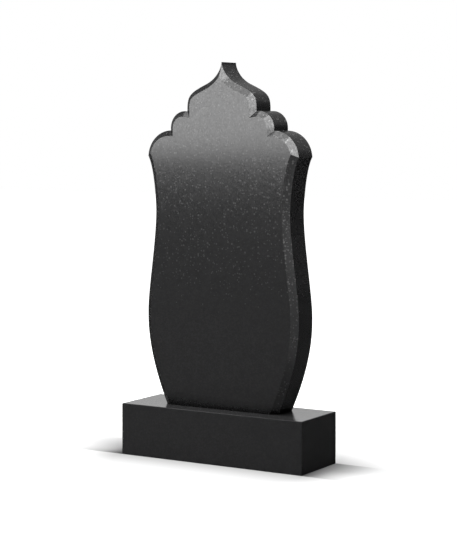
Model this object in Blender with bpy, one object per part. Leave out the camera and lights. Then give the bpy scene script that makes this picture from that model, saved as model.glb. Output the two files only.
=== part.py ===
# Headstone: a polished slab with a vase-shaped body, stepped round shoulders and an ogee crest,
# bevelled round its front face and standing on a low plinth.
# Metres, +Z up. The front faces -Y and the origin is the middle of the plinth's underside.

import math

import bmesh
import bpy
from mathutils import Vector

# Plinth
PLINTH_LENGTH = 0.600
PLINTH_DEPTH = 0.200
PLINTH_HEIGHT = 0.150
PLINTH_EASE = 0.002

# Slab, front to back
SLAB_THICKNESS = 0.093
BEVEL_DEPTH = 0.015
BODY_BEVEL_WIDTH = 0.0186
CREST_BEVEL_WIDTH = 0.0160
JOINT_GAP = 0.0003

# Widths of the body, from side to side
FOOT_WIDTH = 0.3734
BELLY_WIDTH = 0.5032
WAIST_WIDTH = 0.4458

# Widths of the crest on one side, from the tip outward
TIP_WIDTH = 0.0005
HOLLOW_WIDTH = 0.0493
ROUND_WIDTH = 0.0647
MIDDLE_LOBE_WIDTH = 0.0565
LOWER_LOBE_WIDTH = 0.0784

# Rises of the outline, each from the end of the one before
BELLY_RISE = 0.268
WAIST_RISE = 0.294
SHOULDER_RISE = 0.157
LOWER_NOTCH_RISE = 0.0075
UPPER_NOTCH_RISE = 0.0070
ROUND_RISE = 0.0700
HOLLOW_RISE = 0.0609

# Directions of the outline in degrees from upright, outward positive
FOOT_LEAN = 24.6
SHOULDER_LEAN = 30.0
OGEE_LEAN = -66.0

# Where the lobes' arcs start or end, in degrees above the level through their centres
LOWER_LOBE_START = 4.0
MIDDLE_LOBE_END = 101.0

# How far each curve keeps the direction of its two ends, as shares of the straight distance
BELLY_PULLS = (0.60, 0.10)
WAIST_PULLS = (0.22, 0.295)
SHOULDER_PULLS = (0.15, 0.26)
ROUND_PULLS = (0.42, 0.60)
HOLLOW_PULLS = (0.45, 0.23)

CURVE_STEPS = 24
MERGE = 0.000001


def heading(lean):
    angle = math.radians(lean)
    return Vector((math.sin(angle), math.cos(angle)))


# A cubic curve that leaves start and reaches end at the given leans.
def curve(start, start_lean, end, end_lean, pulls):
    span = (end - start).length
    first = start + heading(start_lean) * pulls[0] * span
    second = end - heading(end_lean) * pulls[1] * span
    points = []
    for step in range(CURVE_STEPS + 1):
        t = step / CURVE_STEPS
        u = 1 - t
        points.append(start * u**3 + first * 3 * u * u * t + second * 3 * u * t * t + end * t**3)
    return points


# A round lobe that starts at a point and reaches inward by its width.
def lobe(start, width, start_angle, end_angle):
    first = math.radians(start_angle)
    last = math.radians(end_angle)
    radius = width / (math.cos(first) - math.cos(last))
    centre = start - Vector((math.cos(first), math.sin(first))) * radius
    points = []
    for step in range(CURVE_STEPS + 1):
        angle = first + (last - first) * step / CURVE_STEPS
        points.append(centre + Vector((math.cos(angle), math.sin(angle))) * radius)
    return points


# The right side of the body, from the foot to the shoulder's corner.
def body_outline():
    shoulder = TIP_WIDTH + HOLLOW_WIDTH + ROUND_WIDTH + MIDDLE_LOBE_WIDTH + LOWER_LOBE_WIDTH
    foot = Vector((FOOT_WIDTH / 2, 0))
    belly = Vector((BELLY_WIDTH / 2, BELLY_RISE))
    waist = Vector((WAIST_WIDTH / 2, belly.y + WAIST_RISE))
    corner = Vector((shoulder, waist.y + SHOULDER_RISE))
    points = curve(foot, FOOT_LEAN, belly, 0, BELLY_PULLS)
    points += curve(belly, 0, waist, 0, WAIST_PULLS)[1:]
    points += curve(waist, 0, corner, SHOULDER_LEAN, SHOULDER_PULLS)[1:]
    return points


# The right side of the crest, from the shoulder's corner to the tip.
def crest_outline(corner):
    points = lobe(corner, LOWER_LOBE_WIDTH, LOWER_LOBE_START, 90)
    spring = points[-1] + Vector((0, LOWER_NOTCH_RISE))
    points += lobe(spring, MIDDLE_LOBE_WIDTH, 0, MIDDLE_LOBE_END)
    side = points[-1] + Vector((0, UPPER_NOTCH_RISE))
    turn = side + Vector((-ROUND_WIDTH, ROUND_RISE))
    tip = turn + Vector((-HOLLOW_WIDTH, HOLLOW_RISE))
    points += curve(side, 0, turn, OGEE_LEAN, ROUND_PULLS)
    points += curve(turn, OGEE_LEAN, tip, 0, HOLLOW_PULLS)[1:]
    return points


# The point set in from a corner by the bevel widths of the edges on its two sides.
def mitre(corner, before, after):
    normal_a, width_a = before
    normal_b, width_b = after
    turn = normal_a.dot(normal_b)
    if turn > 0.999999:
        return corner + normal_a * width_a
    share_a = (width_a - turn * width_b) / (1 - turn * turn)
    share_b = (width_b - turn * width_a) / (1 - turn * turn)
    return corner + normal_a * share_a + normal_b * share_b


# Every point of the outline with the point that the bevel sets it in to.
def bevelled_outline():
    body = body_outline()
    corner = len(body) - 1
    outline = body + crest_outline(body[-1])[1:]
    edges = [(Vector((0, 1)), 0)]
    for index, (start, end) in enumerate(zip(outline, outline[1:])):
        along = (end - start).normalized()
        width = BODY_BEVEL_WIDTH if index < corner else CREST_BEVEL_WIDTH
        edges.append((Vector((-along.y, along.x)), width))
    edges.append((Vector((0, -1)), CREST_BEVEL_WIDTH))
    inner = [mitre(point, edges[i], edges[i + 1]) for i, point in enumerate(outline)]
    gather_at_corner(outline, inner, corner)
    return list(zip(outline, inner))


# Next to the shoulder's sharp corner, the points that would pass its mitre stop on it.
def gather_at_corner(outline, inner, corner):
    for step in (-1, 1):
        away = (outline[corner + step] - outline[corner]).normalized()
        index = corner + step
        while (inner[index] - inner[corner]).dot(away) < 0:
            inner[index] = inner[corner].copy()
            index += step


# The bevels of the two sides meet in a ridge under the tip, so there they stop at the middle
# and at less than their full depth. The pair where the ridge leaves the face is added.
def bevel_pairs():
    pairs = []
    last = None
    for outer, inner in bevelled_outline():
        if inner.x >= 0:
            pairs.append((outer, inner, BEVEL_DEPTH))
        else:
            if last and last[1].x > 0:
                share = last[1].x / (last[1].x - inner.x)
                top = last[1].lerp(inner, share)
                pairs.append((last[0].lerp(outer, share), Vector((0, top.y)), BEVEL_DEPTH))
            share = outer.x / (outer.x - inner.x)
            ridge = outer.lerp(inner, share)
            pairs.append((outer, Vector((0, ridge.y)), BEVEL_DEPTH * share))
        last = (outer, inner)
    return pairs


def slab_mesh():
    front = -SLAB_THICKNESS / 2
    mesh = bmesh.new()
    loops = {"back": [], "edge": [], "face": []}
    pairs = bevel_pairs()
    sides = [(1, pair) for pair in pairs] + [(-1, pair) for pair in reversed(pairs)]
    for side, (outer, inner, depth) in sides:
        loops["back"].append(mesh.verts.new((side * outer.x, -front, outer.y)))
        loops["edge"].append(mesh.verts.new((side * outer.x, front + BEVEL_DEPTH, outer.y)))
        level = front + BEVEL_DEPTH - depth
        loops["face"].append(mesh.verts.new((side * inner.x, level, inner.y)))
    count = len(sides)
    for near, far in (("face", "edge"), ("edge", "back")):
        for index in range(count):
            after = (index + 1) % count
            mesh.faces.new((loops[near][index], loops[near][after], loops[far][after], loops[far][index]))
    mesh.faces.new(loops["back"])
    mesh.faces.new([vert for vert in loops["face"] if vert.co.y < front + MERGE])
    bmesh.ops.remove_doubles(mesh, verts=mesh.verts, dist=MERGE)
    bmesh.ops.recalc_face_normals(mesh, faces=mesh.faces)
    return mesh


def plinth_mesh():
    mesh = bmesh.new()
    bmesh.ops.create_cube(mesh, size=1)
    bmesh.ops.scale(mesh, vec=(PLINTH_LENGTH, PLINTH_DEPTH, PLINTH_HEIGHT), verts=mesh.verts)
    bmesh.ops.bevel(mesh, geom=mesh.edges, offset=PLINTH_EASE, segments=2, profile=0.5, affect="EDGES")
    return mesh


def polished_granite(name, color, roughness):
    material = bpy.data.materials.new(name)
    material.use_nodes = True
    shader = material.node_tree.nodes["Principled BSDF"]
    shader.inputs["Base Color"].default_value = (*color, 1)
    shader.inputs["Roughness"].default_value = roughness
    shader.inputs["Metallic"].default_value = 0
    material.diffuse_color = (*color, 1)
    return material


def add_piece(name, mesh, height, material):
    data = bpy.data.meshes.new(name)
    mesh.to_mesh(data)
    mesh.free()
    data.polygons.foreach_set("use_smooth", [True] * len(data.polygons))
    data.set_sharp_from_angle(angle=math.radians(20))
    data.materials.append(material)
    piece = bpy.data.objects.new(name, data)
    piece.location = (0, 0, height)
    bpy.context.collection.objects.link(piece)


for old in list(bpy.data.objects):
    bpy.data.objects.remove(old)

slab_stone = polished_granite("slab_granite", (0.030, 0.030, 0.033), 0.10)
plinth_stone = polished_granite("plinth_granite", (0.026, 0.026, 0.029), 0.12)
add_piece("plinth", plinth_mesh(), PLINTH_HEIGHT / 2, plinth_stone)
add_piece("stele", slab_mesh(), PLINTH_HEIGHT + JOINT_GAP, slab_stone)
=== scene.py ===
import math

import bmesh
import bpy
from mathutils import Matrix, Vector


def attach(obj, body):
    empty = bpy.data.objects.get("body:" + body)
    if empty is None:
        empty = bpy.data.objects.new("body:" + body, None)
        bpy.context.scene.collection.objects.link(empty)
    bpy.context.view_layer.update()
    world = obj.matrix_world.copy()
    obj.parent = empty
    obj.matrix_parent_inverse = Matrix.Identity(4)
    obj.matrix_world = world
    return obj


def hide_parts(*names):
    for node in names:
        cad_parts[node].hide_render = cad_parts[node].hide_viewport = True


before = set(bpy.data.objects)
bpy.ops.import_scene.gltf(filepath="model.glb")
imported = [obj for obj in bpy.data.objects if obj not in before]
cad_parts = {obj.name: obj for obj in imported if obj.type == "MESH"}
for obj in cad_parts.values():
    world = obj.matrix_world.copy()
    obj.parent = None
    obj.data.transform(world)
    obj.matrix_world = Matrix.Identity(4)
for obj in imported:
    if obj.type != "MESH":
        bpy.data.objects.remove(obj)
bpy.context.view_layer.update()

print("frame loaded:", sorted(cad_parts))


def newTree(tree):
    tree.nodes.clear()
    return tree.nodes, tree.links


def addNode(nodes, kind, label, **settings):
    node = nodes.new(kind)
    node.label = label
    for key, value in settings.items():
        setattr(node, key, value)
    return node


def mathNode(nodes, links, operation, first, second, label, clamp=False):
    node = addNode(nodes, "ShaderNodeMath", label, operation=operation, use_clamp=clamp)
    for socket, source in zip(node.inputs, (first, second)):
        if isinstance(source, (int, float)):
            socket.default_value = source
        else:
            links.new(source, socket)
    return node.outputs[0]


def fadeIn(nodes, links, value, start, full, label):
    node = addNode(nodes, "ShaderNodeMapRange", label, interpolation_type="SMOOTHSTEP")
    links.new(value, node.inputs["Value"])
    node.inputs["From Min"].default_value = start
    node.inputs["From Max"].default_value = full
    return node.outputs[0]


# The grain of polished gabbro: a close mosaic of dark and greyer crystals, slow clouds of
# lighter and darker stone, and stray bright flecks that thin out down the block. The flecks' paler
# colour on the bevels and the crest's upward edges is a painted glint, and the darkening just
# above the joint is painted shade. Sizes are in metres.
grainMix = {
    "middle": 0.5,  # the tone about which clouds and shine vary
    "cloudStrength": 0.8,
    "cloudDetail": 3,
    "darkBias": 1.6,  # above 1, most crystals are dark
    # painted shade: the colour the stone darkens to just above the joint
    "painted shade": (0, 0, 0, 1),
    "bevelFrom": 0.45, "bevelFull": 0.60,  # how squarely a bevel faces the front
    "faceFrom": 0.84, "faceFull": 0.95,  # and the polished face
    "topFrom": 0.10, "topFull": 0.45,  # how far upward the crest's edges face
    "sideFlecks": 0.3,  # share of the flecks' shine on upright sides
    "topFlecks": 1.2,  # and what the crest's edges have beyond that
    "bevelPale": 0.30,  # share of the flecks' painted glint colour on the bevels; on the crest's edges it is 1
}


def makeGraniteGrain(mix):
    group = bpy.data.node_groups.new("graniteGrain", "ShaderNodeTree")
    face = group.interface
    for name, kind, value in (
        ("Dark Crystal", "NodeSocketColor", (0.01, 0.01, 0.01, 1)),
        ("Grey Crystal", "NodeSocketColor", (0.04, 0.04, 0.04, 1)),
        ("Fleck", "NodeSocketColor", (0.3, 0.3, 0.3, 1)),
        ("Crystal Size", "NodeSocketFloat", 0.003),
        ("Cloud Size", "NodeSocketFloat", 0.03),
        ("Fleck Spacing", "NodeSocketFloat", 0.02),
        ("Fleck Radius", "NodeSocketFloat", 0.002),
        ("Fleck Rarity", "NodeSocketFloat", 4),
        ("Fleck Dullness", "NodeSocketFloat", 0.15),
        ("Shine", "NodeSocketFloat", 0.2),
        ("Shine Spread", "NodeSocketFloat", 0.4),
        ("Fleck Shine", "NodeSocketFloat", 0.4),
        ("Fleck Start", "NodeSocketFloat", -1.0),
        ("Fleck Reach", "NodeSocketFloat", 0.5),
        ("Foot Shade", "NodeSocketFloat", 0.0),
        ("Foot Reach", "NodeSocketFloat", 0.015),
        ("Polish", "NodeSocketFloat", 0.12),
        ("Polish Spread", "NodeSocketFloat", 0.05),
        ("Bevel Grain", "NodeSocketFloat", 1.0),
    ):
        face.new_socket(name, in_out="INPUT", socket_type=kind).default_value = value
    face.new_socket("Color", in_out="OUTPUT", socket_type="NodeSocketColor")
    face.new_socket("Roughness", in_out="OUTPUT", socket_type="NodeSocketFloat")
    face.new_socket("Shine", in_out="OUTPUT", socket_type="NodeSocketFloat")
    face.new_socket("Relief", in_out="OUTPUT", socket_type="NodeSocketFloat")

    nodes, links = newTree(group)
    given = addNode(nodes, "NodeGroupInput", "stone values").outputs
    made = addNode(nodes, "NodeGroupOutput", "surface").inputs
    block = addNode(nodes, "ShaderNodeTexCoord", "place in the block").outputs
    place = block["Object"]

    facing = addNode(nodes, "ShaderNodeSeparateXYZ", "which way the stone faces")
    links.new(block["Normal"], facing.inputs[0])
    toFront = mathNode(nodes, links, "MULTIPLY", facing.outputs["Y"], -1, "towards the front")
    offSide = fadeIn(nodes, links, toFront, mix["bevelFrom"], mix["bevelFull"], "not a side")
    onFace = fadeIn(nodes, links, toFront, mix["faceFrom"], mix["faceFull"], "the face")
    bevel = mathNode(nodes, links, "SUBTRACT", offSide, onFace, "the bevel", clamp=True)
    onTop = fadeIn(nodes, links, facing.outputs["Z"], mix["topFrom"], mix["topFull"], "the crest's edge")
    onEdge = mathNode(nodes, links, "SUBTRACT", onTop, offSide, "off the front", clamp=True)
    # Painted glint: flecks are paler on the bevels and palest on the crest's upward edges, where light
    # falls on them.
    pale = mathNode(nodes, links, "MULTIPLY", bevel, mix["bevelPale"], "paler on the bevel")
    pale = mathNode(nodes, links, "MAXIMUM", pale, onEdge, "palest on the crest's edge")
    bevel = mathNode(nodes, links, "MAXIMUM", bevel, onTop, "hand-polished places")
    shown = mathNode(nodes, links, "ABSOLUTE", facing.outputs["Y"], 0, "face or back")
    shown = mathNode(nodes, links, "MAXIMUM", shown, facing.outputs["Z"], "or upward")
    shown = mathNode(nodes, links, "MAXIMUM", shown, mix["sideFlecks"], "flecks that show")
    extra = mathNode(nodes, links, "MULTIPLY", onTop, mix["topFlecks"], "more on the crest's edge")
    shown = mathNode(nodes, links, "ADD", shown, extra, "flecks that show")
    coarser = mathNode(nodes, links, "SUBTRACT", given["Bevel Grain"], 1, "coarser than the face")
    coarser = mathNode(nodes, links, "MULTIPLY", coarser, bevel, "on the bevel")
    coarser = mathNode(nodes, links, "ADD", coarser, 1, "spread of the grain")

    crystals = addNode(nodes, "ShaderNodeTexVoronoi", "crystals", feature="F1")
    links.new(place, crystals.inputs["Vector"])
    perMetre = mathNode(nodes, links, "DIVIDE", 1, given["Crystal Size"], "crystals per metre")
    links.new(perMetre, crystals.inputs["Scale"])
    tone = addNode(nodes, "ShaderNodeSeparateColor", "one tone a crystal")
    links.new(crystals.outputs["Color"], tone.inputs[0])

    clouds = addNode(nodes, "ShaderNodeTexNoise", "clouds")
    clouds.inputs["Detail"].default_value = mix["cloudDetail"]
    links.new(place, clouds.inputs["Vector"])
    perMetre = mathNode(nodes, links, "DIVIDE", 1, given["Cloud Size"], "clouds per metre")
    links.new(perMetre, clouds.inputs["Scale"])

    lifted = mathNode(nodes, links, "SUBTRACT", clouds.outputs["Fac"], mix["middle"], "dark to light cloud")
    lifted = mathNode(nodes, links, "MULTIPLY", lifted, mix["cloudStrength"], "cloud share")
    sharp = mathNode(nodes, links, "POWER", tone.outputs[0], mix["darkBias"], "mostly dark crystals")
    grey = mathNode(nodes, links, "ADD", sharp, lifted, "crystal and cloud", clamp=True)
    stone = addNode(nodes, "ShaderNodeMix", "stone colour", data_type="RGBA")
    links.new(grey, stone.inputs["Factor"])
    links.new(given["Dark Crystal"], stone.inputs["A"])
    links.new(given["Grey Crystal"], stone.inputs["B"])

    height = addNode(nodes, "ShaderNodeSeparateXYZ", "height above the joint")
    links.new(place, height.inputs[0])
    above = mathNode(nodes, links, "SUBTRACT", height.outputs["Z"], given["Fleck Start"], "above the plain")
    dense = mathNode(nodes, links, "DIVIDE", above, given["Fleck Reach"], "denser upward", clamp=True)
    flecks = addNode(nodes, "ShaderNodeTexVoronoi", "flecks", feature="F1")
    links.new(place, flecks.inputs["Vector"])
    perMetre = mathNode(nodes, links, "DIVIDE", 1, given["Fleck Spacing"], "flecks per metre")
    links.new(perMetre, flecks.inputs["Scale"])
    chance = addNode(nodes, "ShaderNodeSeparateColor", "one size and tone a fleck")
    links.new(flecks.outputs["Color"], chance.inputs[0])
    reach = mathNode(nodes, links, "MULTIPLY", given["Fleck Radius"], perMetre, "radius in cells")
    reach = mathNode(nodes, links, "MULTIPLY", reach, chance.outputs[0], "some larger")
    inside = mathNode(nodes, links, "LESS_THAN", flecks.outputs["Distance"], reach, "inside a fleck")
    bright = mathNode(nodes, links, "POWER", chance.outputs[1], given["Fleck Rarity"], "few bright ones")
    fleck = mathNode(nodes, links, "MULTIPLY", inside, bright, "fleck")
    fleck = mathNode(nodes, links, "MULTIPLY", fleck, dense, "thinned out")
    paler = mathNode(nodes, links, "MULTIPLY", fleck, pale, "fleck colour")
    colour = addNode(nodes, "ShaderNodeMix", "flecked stone", data_type="RGBA")
    links.new(paler, colour.inputs["Factor"])
    links.new(stone.outputs["Result"], colour.inputs["A"])
    links.new(given["Fleck"], colour.inputs["B"])

    # Painted shade: the colour darkens towards the joint with the plinth.
    low = mathNode(nodes, links, "DIVIDE", height.outputs["Z"], given["Foot Reach"], "share of the reach")
    low = mathNode(nodes, links, "SUBTRACT", 1, low, "towards the joint", clamp=True)
    low = mathNode(nodes, links, "MULTIPLY", low, given["Foot Shade"], "grime at the joint")
    shadedFoot = addNode(nodes, "ShaderNodeMix", "stone with its foot", data_type="RGBA")
    links.new(low, shadedFoot.inputs["Factor"])
    links.new(colour.outputs["Result"], shadedFoot.inputs["A"])
    shadedFoot.inputs["B"].default_value = mix["painted shade"]
    links.new(shadedFoot.outputs["Result"], made["Color"])

    shine = mathNode(nodes, links, "SUBTRACT", tone.outputs[2], mix["middle"], "from duller to shinier")
    shine = mathNode(nodes, links, "MULTIPLY", shine, given["Shine Spread"], "by crystal")
    shine = mathNode(nodes, links, "MULTIPLY", shine, coarser, "more on the bevel")
    shine = mathNode(nodes, links, "ADD", shine, given["Shine"], "about the mean")
    fleckShine = mathNode(nodes, links, "MULTIPLY", fleck, given["Fleck Shine"], "by fleck")
    fleckShine = mathNode(nodes, links, "MULTIPLY", fleckShine, shown, "less on upright sides")
    links.new(mathNode(nodes, links, "ADD", shine, fleckShine, "shine", clamp=True), made["Shine"])

    spread = mathNode(nodes, links, "MULTIPLY", tone.outputs[1], given["Polish Spread"], "softer crystals")
    spread = mathNode(nodes, links, "MULTIPLY", spread, coarser, "more on the bevel")
    spread = mathNode(nodes, links, "ADD", given["Polish"], spread, "polish")
    dull = mathNode(nodes, links, "MULTIPLY", fleck, given["Fleck Dullness"], "flecks take less polish")
    links.new(mathNode(nodes, links, "ADD", spread, dull, "polish with flecks"), made["Roughness"])
    links.new(clouds.outputs["Fac"], made["Relief"])  # the polisher's ripple follows the clouds
    return group


def makeGranite(name, grain, look):
    material = bpy.data.materials.new(name)
    material.use_nodes = True
    nodes, links = newTree(material.node_tree)
    shader = addNode(nodes, "ShaderNodeBsdfPrincipled", "polished stone")
    surface = addNode(nodes, "ShaderNodeOutputMaterial", "surface")
    stone = addNode(nodes, "ShaderNodeGroup", "grain", node_tree=grain)
    for key in ("Dark Crystal", "Grey Crystal", "Fleck"):
        stone.inputs[key].default_value = (*look[key], 1)
    for key in (
        "Crystal Size", "Cloud Size", "Fleck Spacing", "Fleck Radius", "Fleck Rarity", "Fleck Dullness",
        "Fleck Shine", "Fleck Start", "Fleck Reach", "Polish", "Polish Spread", "Shine", "Shine Spread",
        "Foot Shade", "Foot Reach", "Bevel Grain",
    ):
        stone.inputs[key].default_value = look[key]
    bump = addNode(nodes, "ShaderNodeBump", "hand-polished ripple")
    bump.inputs["Strength"].default_value = 1
    bump.inputs["Distance"].default_value = look["ripple"]
    shader.inputs["IOR"].default_value = look["ior"]
    shader.inputs["Specular IOR Level"].default_value = look["specular"]
    shader.inputs["Coat Roughness"].default_value = look["coatRoughness"]
    shader.inputs["Coat IOR"].default_value = look["coatIor"]
    links.new(stone.outputs["Color"], shader.inputs["Base Color"])
    links.new(stone.outputs["Roughness"], shader.inputs["Roughness"])
    links.new(stone.outputs["Shine"], shader.inputs["Coat Weight"])
    links.new(stone.outputs["Relief"], bump.inputs["Height"])
    links.new(bump.outputs["Normal"], shader.inputs["Normal"])
    links.new(shader.outputs[0], surface.inputs["Surface"])
    return material


slabLook = {
    # The slab's crystals are a little lighter than the plinth's: painted light that brightens the slab.
    "Dark Crystal": (0.0204, 0.0204, 0.0209),
    "Grey Crystal": (0.0262, 0.0262, 0.0267),
    "Fleck": (0.16, 0.16, 0.16),  # shows only on bevels and where the stone faces up, a painted glint of light on the grain
    "Crystal Size": 0.0036,
    "Cloud Size": 0.022,
    "Fleck Spacing": 0.0062,
    "Fleck Radius": 0.0033,
    "Fleck Rarity": 1.6,
    "Fleck Dullness": 0.26,
    "Polish": 0.130,
    "Polish Spread": 0.08,
    "Shine": 0.134,  # share of each crystal that takes the full mirror polish
    "Shine Spread": 0.16,
    "Fleck Shine": 0.37,
    "Fleck Start": 0.33,  # height above the joint where the flecks begin
    "Fleck Reach": 0.27,  # and how much further up they are at their densest
    "Foot Shade": 0.65,  # painted shade: the stone darkens in the last millimetres above the joint
    "Foot Reach": 0.011,
    "Bevel Grain": 1.9,  # how much coarser the grain is on the bevels
    "ripple": 0.00002,
    "ior": 1.5,
    "specular": 0.37,
    "coatRoughness": 0.175,
    "coatIor": 1.7,
}
plinthLook = {
    **slabLook,
    "Dark Crystal": (0.0190, 0.0190, 0.0195),
    "Grey Crystal": (0.0235, 0.0235, 0.0240),
    "Fleck": (0.045, 0.045, 0.045),
    "Fleck Dullness": 0.05,
    "Polish": 0.155,
    "Polish Spread": 0.03,
    "Fleck Shine": 0.08,
    "Fleck Start": -1.0,
    "Foot Shade": 0.0,
    "Bevel Grain": 1.0,
}
graniteGrain = makeGraniteGrain(grainMix)
slabGranite = makeGranite("slabGranite", graniteGrain, slabLook)
plinthGranite = makeGranite("plinthGranite", graniteGrain, plinthLook)
print("granite ready")


# The stone as it leaves the polisher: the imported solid's own form with its arrises eased, apart
# from those at the joint. At the four foot corners, where the easing ends, the shading leans.
slabFinish = {
    "arris": 0.0010,  # width of the eased edge
    "arrisSteps": 2,
    "sharpFrom": 14,  # degrees between two faces that make an arris
    "weld": 0.000002,
    "flat": 0.05,  # degrees within which faces are one face
}


def easedStone(node, name, finish, material):
    mesh = bmesh.new()
    mesh.from_mesh(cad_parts[node].data)
    bmesh.ops.remove_doubles(mesh, verts=mesh.verts, dist=finish["weld"])
    bmesh.ops.dissolve_limit(
        mesh, angle_limit=math.radians(finish["flat"]), verts=mesh.verts, edges=mesh.edges
    )
    weight = mesh.edges.layers.float.new("bevel_weight_edge")
    foot = min(corner.co.z for corner in mesh.verts) + finish["weld"]
    for edge in mesh.edges:
        atFoot = all(corner.co.z < foot for corner in edge.verts)
        if not atFoot and edge.calc_face_angle(0) > math.radians(finish["sharpFrom"]):
            edge[weight] = 1
    for side in mesh.faces:
        side.smooth = True
    data = bpy.data.meshes.new(name)
    mesh.to_mesh(data)
    mesh.free()
    if "custom_normal" in data.attributes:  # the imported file's own, from before the easing
        data.attributes.remove(data.attributes["custom_normal"])
    data.materials.clear()
    data.materials.append(material)
    stone = bpy.data.objects.new(name, data)
    bpy.context.scene.collection.objects.link(stone)
    arris = stone.modifiers.new("easedArris", "BEVEL")
    arris.width = finish["arris"]
    arris.segments = finish["arrisSteps"]
    arris.limit_method = "WEIGHT"
    arris.harden_normals = True
    arris.use_clamp_overlap = True
    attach(stone, "root")
    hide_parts(node)
    return stone


slab = easedStone("stele", "slab", slabFinish, slabGranite)
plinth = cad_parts["plinth"]
plinth.data.materials.clear()
plinth.data.materials.append(plinthGranite)
print("stones dressed:", slab.name, len(slab.data.polygons), "faces")


# The floor is lit by the lamps near the stone. Seen by the camera it glows white further out,
# where it runs into the backdrop. The deep shade against the plinth is painted in.
floorLook = {
    "size": 30.0, "albedo": 0.64,
    "farGlow": 1.2, "litTo": 0.33, "whiteFrom": 1.0,
    "plinthHalf": (0.300, 0.100),
    "leftShade": 0.88, "leftReach": 0.225, "rightShade": 0.72, "rightReach": 0.150,
    "leftFront": 1.0, "leftBack": 0.45,  # shares of an end's shade at its front and back borders
    "rightFront": 1.10, "rightBack": 0.86,
    "endSoftness": 0.005,  # of those borders
    "rimShade": 0.42, "rimReach": 0.125,  # in front of the plinth
}


def fadeOut(nodes, links, distance, reach, label):
    share = mathNode(nodes, links, "DIVIDE", distance, reach, label)
    return mathNode(nodes, links, "SUBTRACT", 1, share, label, clamp=True)


def paintContactShade(nodes, links, place, look):
    axes = addNode(nodes, "ShaderNodeSeparateXYZ", "across and along")
    links.new(place, axes.inputs[0])
    past = []
    for axis, half in zip(("X", "Y"), look["plinthHalf"]):
        fromMiddle = mathNode(nodes, links, "ABSOLUTE", axes.outputs[axis], 0, "from the middle")
        beyond = mathNode(nodes, links, "SUBTRACT", fromMiddle, half, "past the plinth")
        past.append(mathNode(nodes, links, "MAXIMUM", beyond, 0, "past the plinth"))
    squares = [mathNode(nodes, links, "MULTIPLY", value, value, "square") for value in past]
    away = mathNode(nodes, links, "ADD", squares[0], squares[1], "distance squared")
    away = mathNode(nodes, links, "SQRT", away, 0, "distance")
    shade = fadeOut(nodes, links, away, look["rimReach"], "rim shade")
    shade = mathNode(nodes, links, "MULTIPLY", shade, look["rimShade"], "rim shade")
    inFront = mathNode(nodes, links, "LESS_THAN", axes.outputs["Y"], 0, "front half")
    shade = mathNode(nodes, links, "MULTIPLY", shade, inFront, "rim shade")
    sideways = fadeOut(nodes, links, past[1], look["endSoftness"], "fading sideways")
    for side, isHere in (("left", "LESS_THAN"), ("right", "GREATER_THAN")):
        here = mathNode(nodes, links, isHere, axes.outputs["X"], 0, side + " half")
        outward = fadeOut(nodes, links, past[0], look[side + "Reach"], "fading outward")
        atEnd = mathNode(nodes, links, "MULTIPLY", outward, sideways, side + " shade")
        atEnd = mathNode(nodes, links, "MULTIPLY", atEnd, here, side + " shade")
        along = addNode(nodes, "ShaderNodeMapRange", side + " shade, front to back")
        along.inputs["From Min"].default_value = -look["plinthHalf"][1]
        along.inputs["From Max"].default_value = look["plinthHalf"][1]
        along.inputs["To Min"].default_value = look[side + "Front"]
        along.inputs["To Max"].default_value = look[side + "Back"]
        links.new(axes.outputs["Y"], along.inputs["Value"])
        atEnd = mathNode(nodes, links, "MULTIPLY", atEnd, along.outputs[0], side + " shade")
        atEnd = mathNode(nodes, links, "MULTIPLY", atEnd, look[side + "Shade"], side + " shade")
        shade = mathNode(nodes, links, "MAXIMUM", shade, atEnd, "deeper shade")
    return mathNode(nodes, links, "SUBTRACT", 1, shade, "light left")


def layFloor(look):
    bpy.ops.mesh.primitive_plane_add(size=look["size"], location=(0, 0, 0))
    floor = bpy.context.object
    floor.name = "studioFloor"
    material = bpy.data.materials.new("paleFloor")
    material.use_nodes = True
    nodes, links = material.node_tree.nodes, material.node_tree.links
    shader = nodes["Principled BSDF"]
    shader.inputs["Roughness"].default_value = 1
    shader.inputs["Specular IOR Level"].default_value = 0
    shader.inputs["Emission Color"].default_value = (1, 1, 1, 1)
    place = addNode(nodes, "ShaderNodeTexCoord", "place on the floor").outputs["Object"]
    away = addNode(nodes, "ShaderNodeVectorMath", "distance from the stone", operation="LENGTH")
    glow = addNode(nodes, "ShaderNodeMapRange", "glow")
    glow.inputs["From Min"].default_value = look["litTo"]
    glow.inputs["From Max"].default_value = look["whiteFrom"]
    glow.inputs["To Min"].default_value = 0
    glow.inputs["To Max"].default_value = look["farGlow"]
    seen = addNode(nodes, "ShaderNodeLightPath", "seen by the camera")
    links.new(place, away.inputs[0])
    links.new(away.outputs["Value"], glow.inputs["Value"])
    shown = mathNode(nodes, links, "MULTIPLY", glow.outputs[0], seen.outputs["Is Camera Ray"], "shown glow")
    links.new(shown, shader.inputs["Emission Strength"])
    left = paintContactShade(nodes, links, place, look)
    white = mathNode(nodes, links, "MULTIPLY", left, look["albedo"], "floor tone")
    links.new(white, shader.inputs["Base Color"])
    floor.data.materials.append(material)
    floor.visible_glossy = False
    return floor


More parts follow.
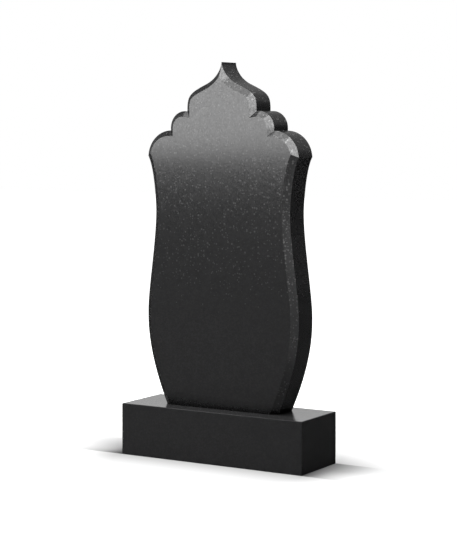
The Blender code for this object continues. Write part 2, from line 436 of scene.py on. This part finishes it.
# Soft boxes: where each hangs, what it faces, its size and brightness, and what it is for.
# A "mirror" box only shows as a reflection in the polish and a "lamp" only lights. A box that
# names what it lights leaves the rest alone, as a shaded box does. The brightness is what a
# mirror would show, whatever the size.
softBoxes = {
    "overhead": {
        "place": (0.0, -0.20, 3.2), "faces": (0.0, -0.199, 0.0), "width": 2.4, "height": 0.35,
        "brightness": 64.0, "use": "lamp", "lights": "ground",
    },
    "overheadRight": {
        "place": (0.6, 0.35, 3.2), "faces": (0.0, 0.0, 1.0), "width": 2.4, "height": 0.35,
        "brightness": 16.0, "use": "lamp", "lights": "slab",
    },
    "frontFill": {
        "place": (-0.9, -2.2, 1.5), "faces": (0.0, 0.0, 0.6), "width": 1.6, "height": 1.2,
        "brightness": 9.1, "use": "lamp", "lights": "stones",
    },
    "backFill": {
        "place": (0.0, 2.8, 1.2), "faces": (0.0, 0.0, 0.6), "width": 1.2, "height": 1.2,
        "brightness": 8.0, "use": "lamp", "lights": "stones",
    },
    "frontLeft": {
        "place": (-0.90, -1.46, 1.445), "faces": (0.0, 0.0, 1.445), "width": 2.6, "height": 1.2,
        "brightness": 6.4, "use": "mirror", "lights": "slab",
    },
    "frontLeftEdge": {
        "place": (-0.90, -1.46, 0.775), "faces": (0.0, 0.0, 0.775), "width": 2.6, "height": 0.14,
        "brightness": 0.3, "use": "mirror", "lights": "slab",
    },
    "frontRight": {
        "place": (1.05, -0.95, 2.19), "faces": (0.1, 0.0, 2.19), "width": 2.4, "height": 2.50,
        "brightness": 8.6, "use": "mirror", "lights": "slab",
    },
    "rightLow": {
        "place": (1.3, -0.93, 0.5), "faces": (0.0, 0.0, 0.5), "width": 1.6, "height": 1.6,
        "brightness": 0.42, "use": "mirror",
    },
    "above": {
        "place": (-0.10, -0.65, 3.2), "faces": (-0.10, -0.649, 0.0), "width": 2.35, "height": 1.7,
        "brightness": 3.8, "use": "mirror",
    },
    "backHigh": {
        "place": (0.2, 2.5, 2.1), "faces": (0.2, 0.0, 1.0), "width": 2.6, "height": 1.2,
        "brightness": 0.12, "use": "mirror", "lights": "slab",
    },
    "backLeft": {
        "place": (-1.57, 2.56, 0.75), "faces": (0.0, 0.0, 0.75), "width": 3.2, "height": 1.3,
        "brightness": 0.68, "use": "mirror",
    },
}


def hangSoftBox(name, box, groups):
    lamp = bpy.data.lights.new(name, "AREA")
    lamp.shape = "RECTANGLE"
    lamp.size = box["width"]
    lamp.size_y = box["height"]
    lamp.energy = box["brightness"] * math.pi * box["width"] * box["height"]
    holder = bpy.data.objects.new(name, lamp)
    holder.location = box["place"]
    look = Vector(box["faces"]) - Vector(box["place"])
    holder.rotation_euler = look.to_track_quat("-Z", "Y").to_euler()
    holder.visible_camera = False
    holder.visible_diffuse = box["use"] != "mirror"
    holder.visible_glossy = box["use"] == "mirror"
    if box.get("lights"):
        holder.light_linking.receiver_collection = groups[box["lights"]]
    bpy.context.scene.collection.objects.link(holder)


# The room round the stone: dim at and below the horizon, brighter above, white behind it.
roomLook = {"belowHorizon": 0.02, "above": 0.19, "fullFrom": 0.24, "behind": 1.0}


def paintRoom(look):
    world = bpy.data.worlds.new("studioRoom")
    bpy.context.scene.world = world
    world.use_nodes = True
    nodes, links = newTree(world.node_tree)
    place = addNode(nodes, "ShaderNodeTexCoord", "direction")
    height = addNode(nodes, "ShaderNodeSeparateXYZ", "height in the room")
    wall = addNode(nodes, "ShaderNodeMapRange", "wall tone")
    wall.inputs["From Min"].default_value = 0
    wall.inputs["From Max"].default_value = look["fullFrom"]
    wall.inputs["To Min"].default_value = look["belowHorizon"]
    wall.inputs["To Max"].default_value = look["above"]
    room = addNode(nodes, "ShaderNodeBackground", "room light")
    backdrop = addNode(nodes, "ShaderNodeBackground", "white behind the stone")
    backdrop.inputs["Strength"].default_value = look["behind"]
    backdrop.inputs["Color"].default_value = (1, 1, 1, 1)
    seen = addNode(nodes, "ShaderNodeLightPath", "seen by the camera")
    either = addNode(nodes, "ShaderNodeMixShader", "either")
    out = addNode(nodes, "ShaderNodeOutputWorld", "room")
    links.new(place.outputs["Generated"], height.inputs[0])
    links.new(height.outputs["Z"], wall.inputs["Value"])
    links.new(wall.outputs[0], room.inputs["Strength"])
    links.new(seen.outputs["Is Camera Ray"], either.inputs["Fac"])
    links.new(room.outputs[0], either.inputs[1])
    links.new(backdrop.outputs[0], either.inputs[2])
    links.new(either.outputs[0], out.inputs["Surface"])


cameraView = {
    "place": (2.5283, -4.1134, 0.9654),
    "turn": 31.54,  # degrees to the right of the stone's front
    "down": 4.935,
    "lens": 113.62,
    "sensor": 36.0,
}


def placeCamera(view):
    data = bpy.data.cameras.new("studioCamera")
    data.lens = view["lens"]
    data.sensor_width = view["sensor"]
    camera = bpy.data.objects.new("studioCamera", data)
    camera.location = view["place"]
    camera.rotation_euler = (math.radians(90 - view["down"]), 0, math.radians(view["turn"]))
    bpy.context.scene.collection.objects.link(camera)
    bpy.context.scene.camera = camera


floor = layFloor(floorLook)
lit = {"stones": (slab, plinth), "slab": (slab,), "ground": (floor, plinth)}
litGroups = {}
for name, members in lit.items():
    litGroups[name] = bpy.data.collections.new(name + "Lit")
    for member in members:
        litGroups[name].objects.link(member)
for name, box in softBoxes.items():
    hangSoftBox(name, box, litGroups)
paintRoom(roomLook)
placeCamera(cameraView)
bpy.context.scene.view_settings.view_transform = "Standard"
print("studio ready")
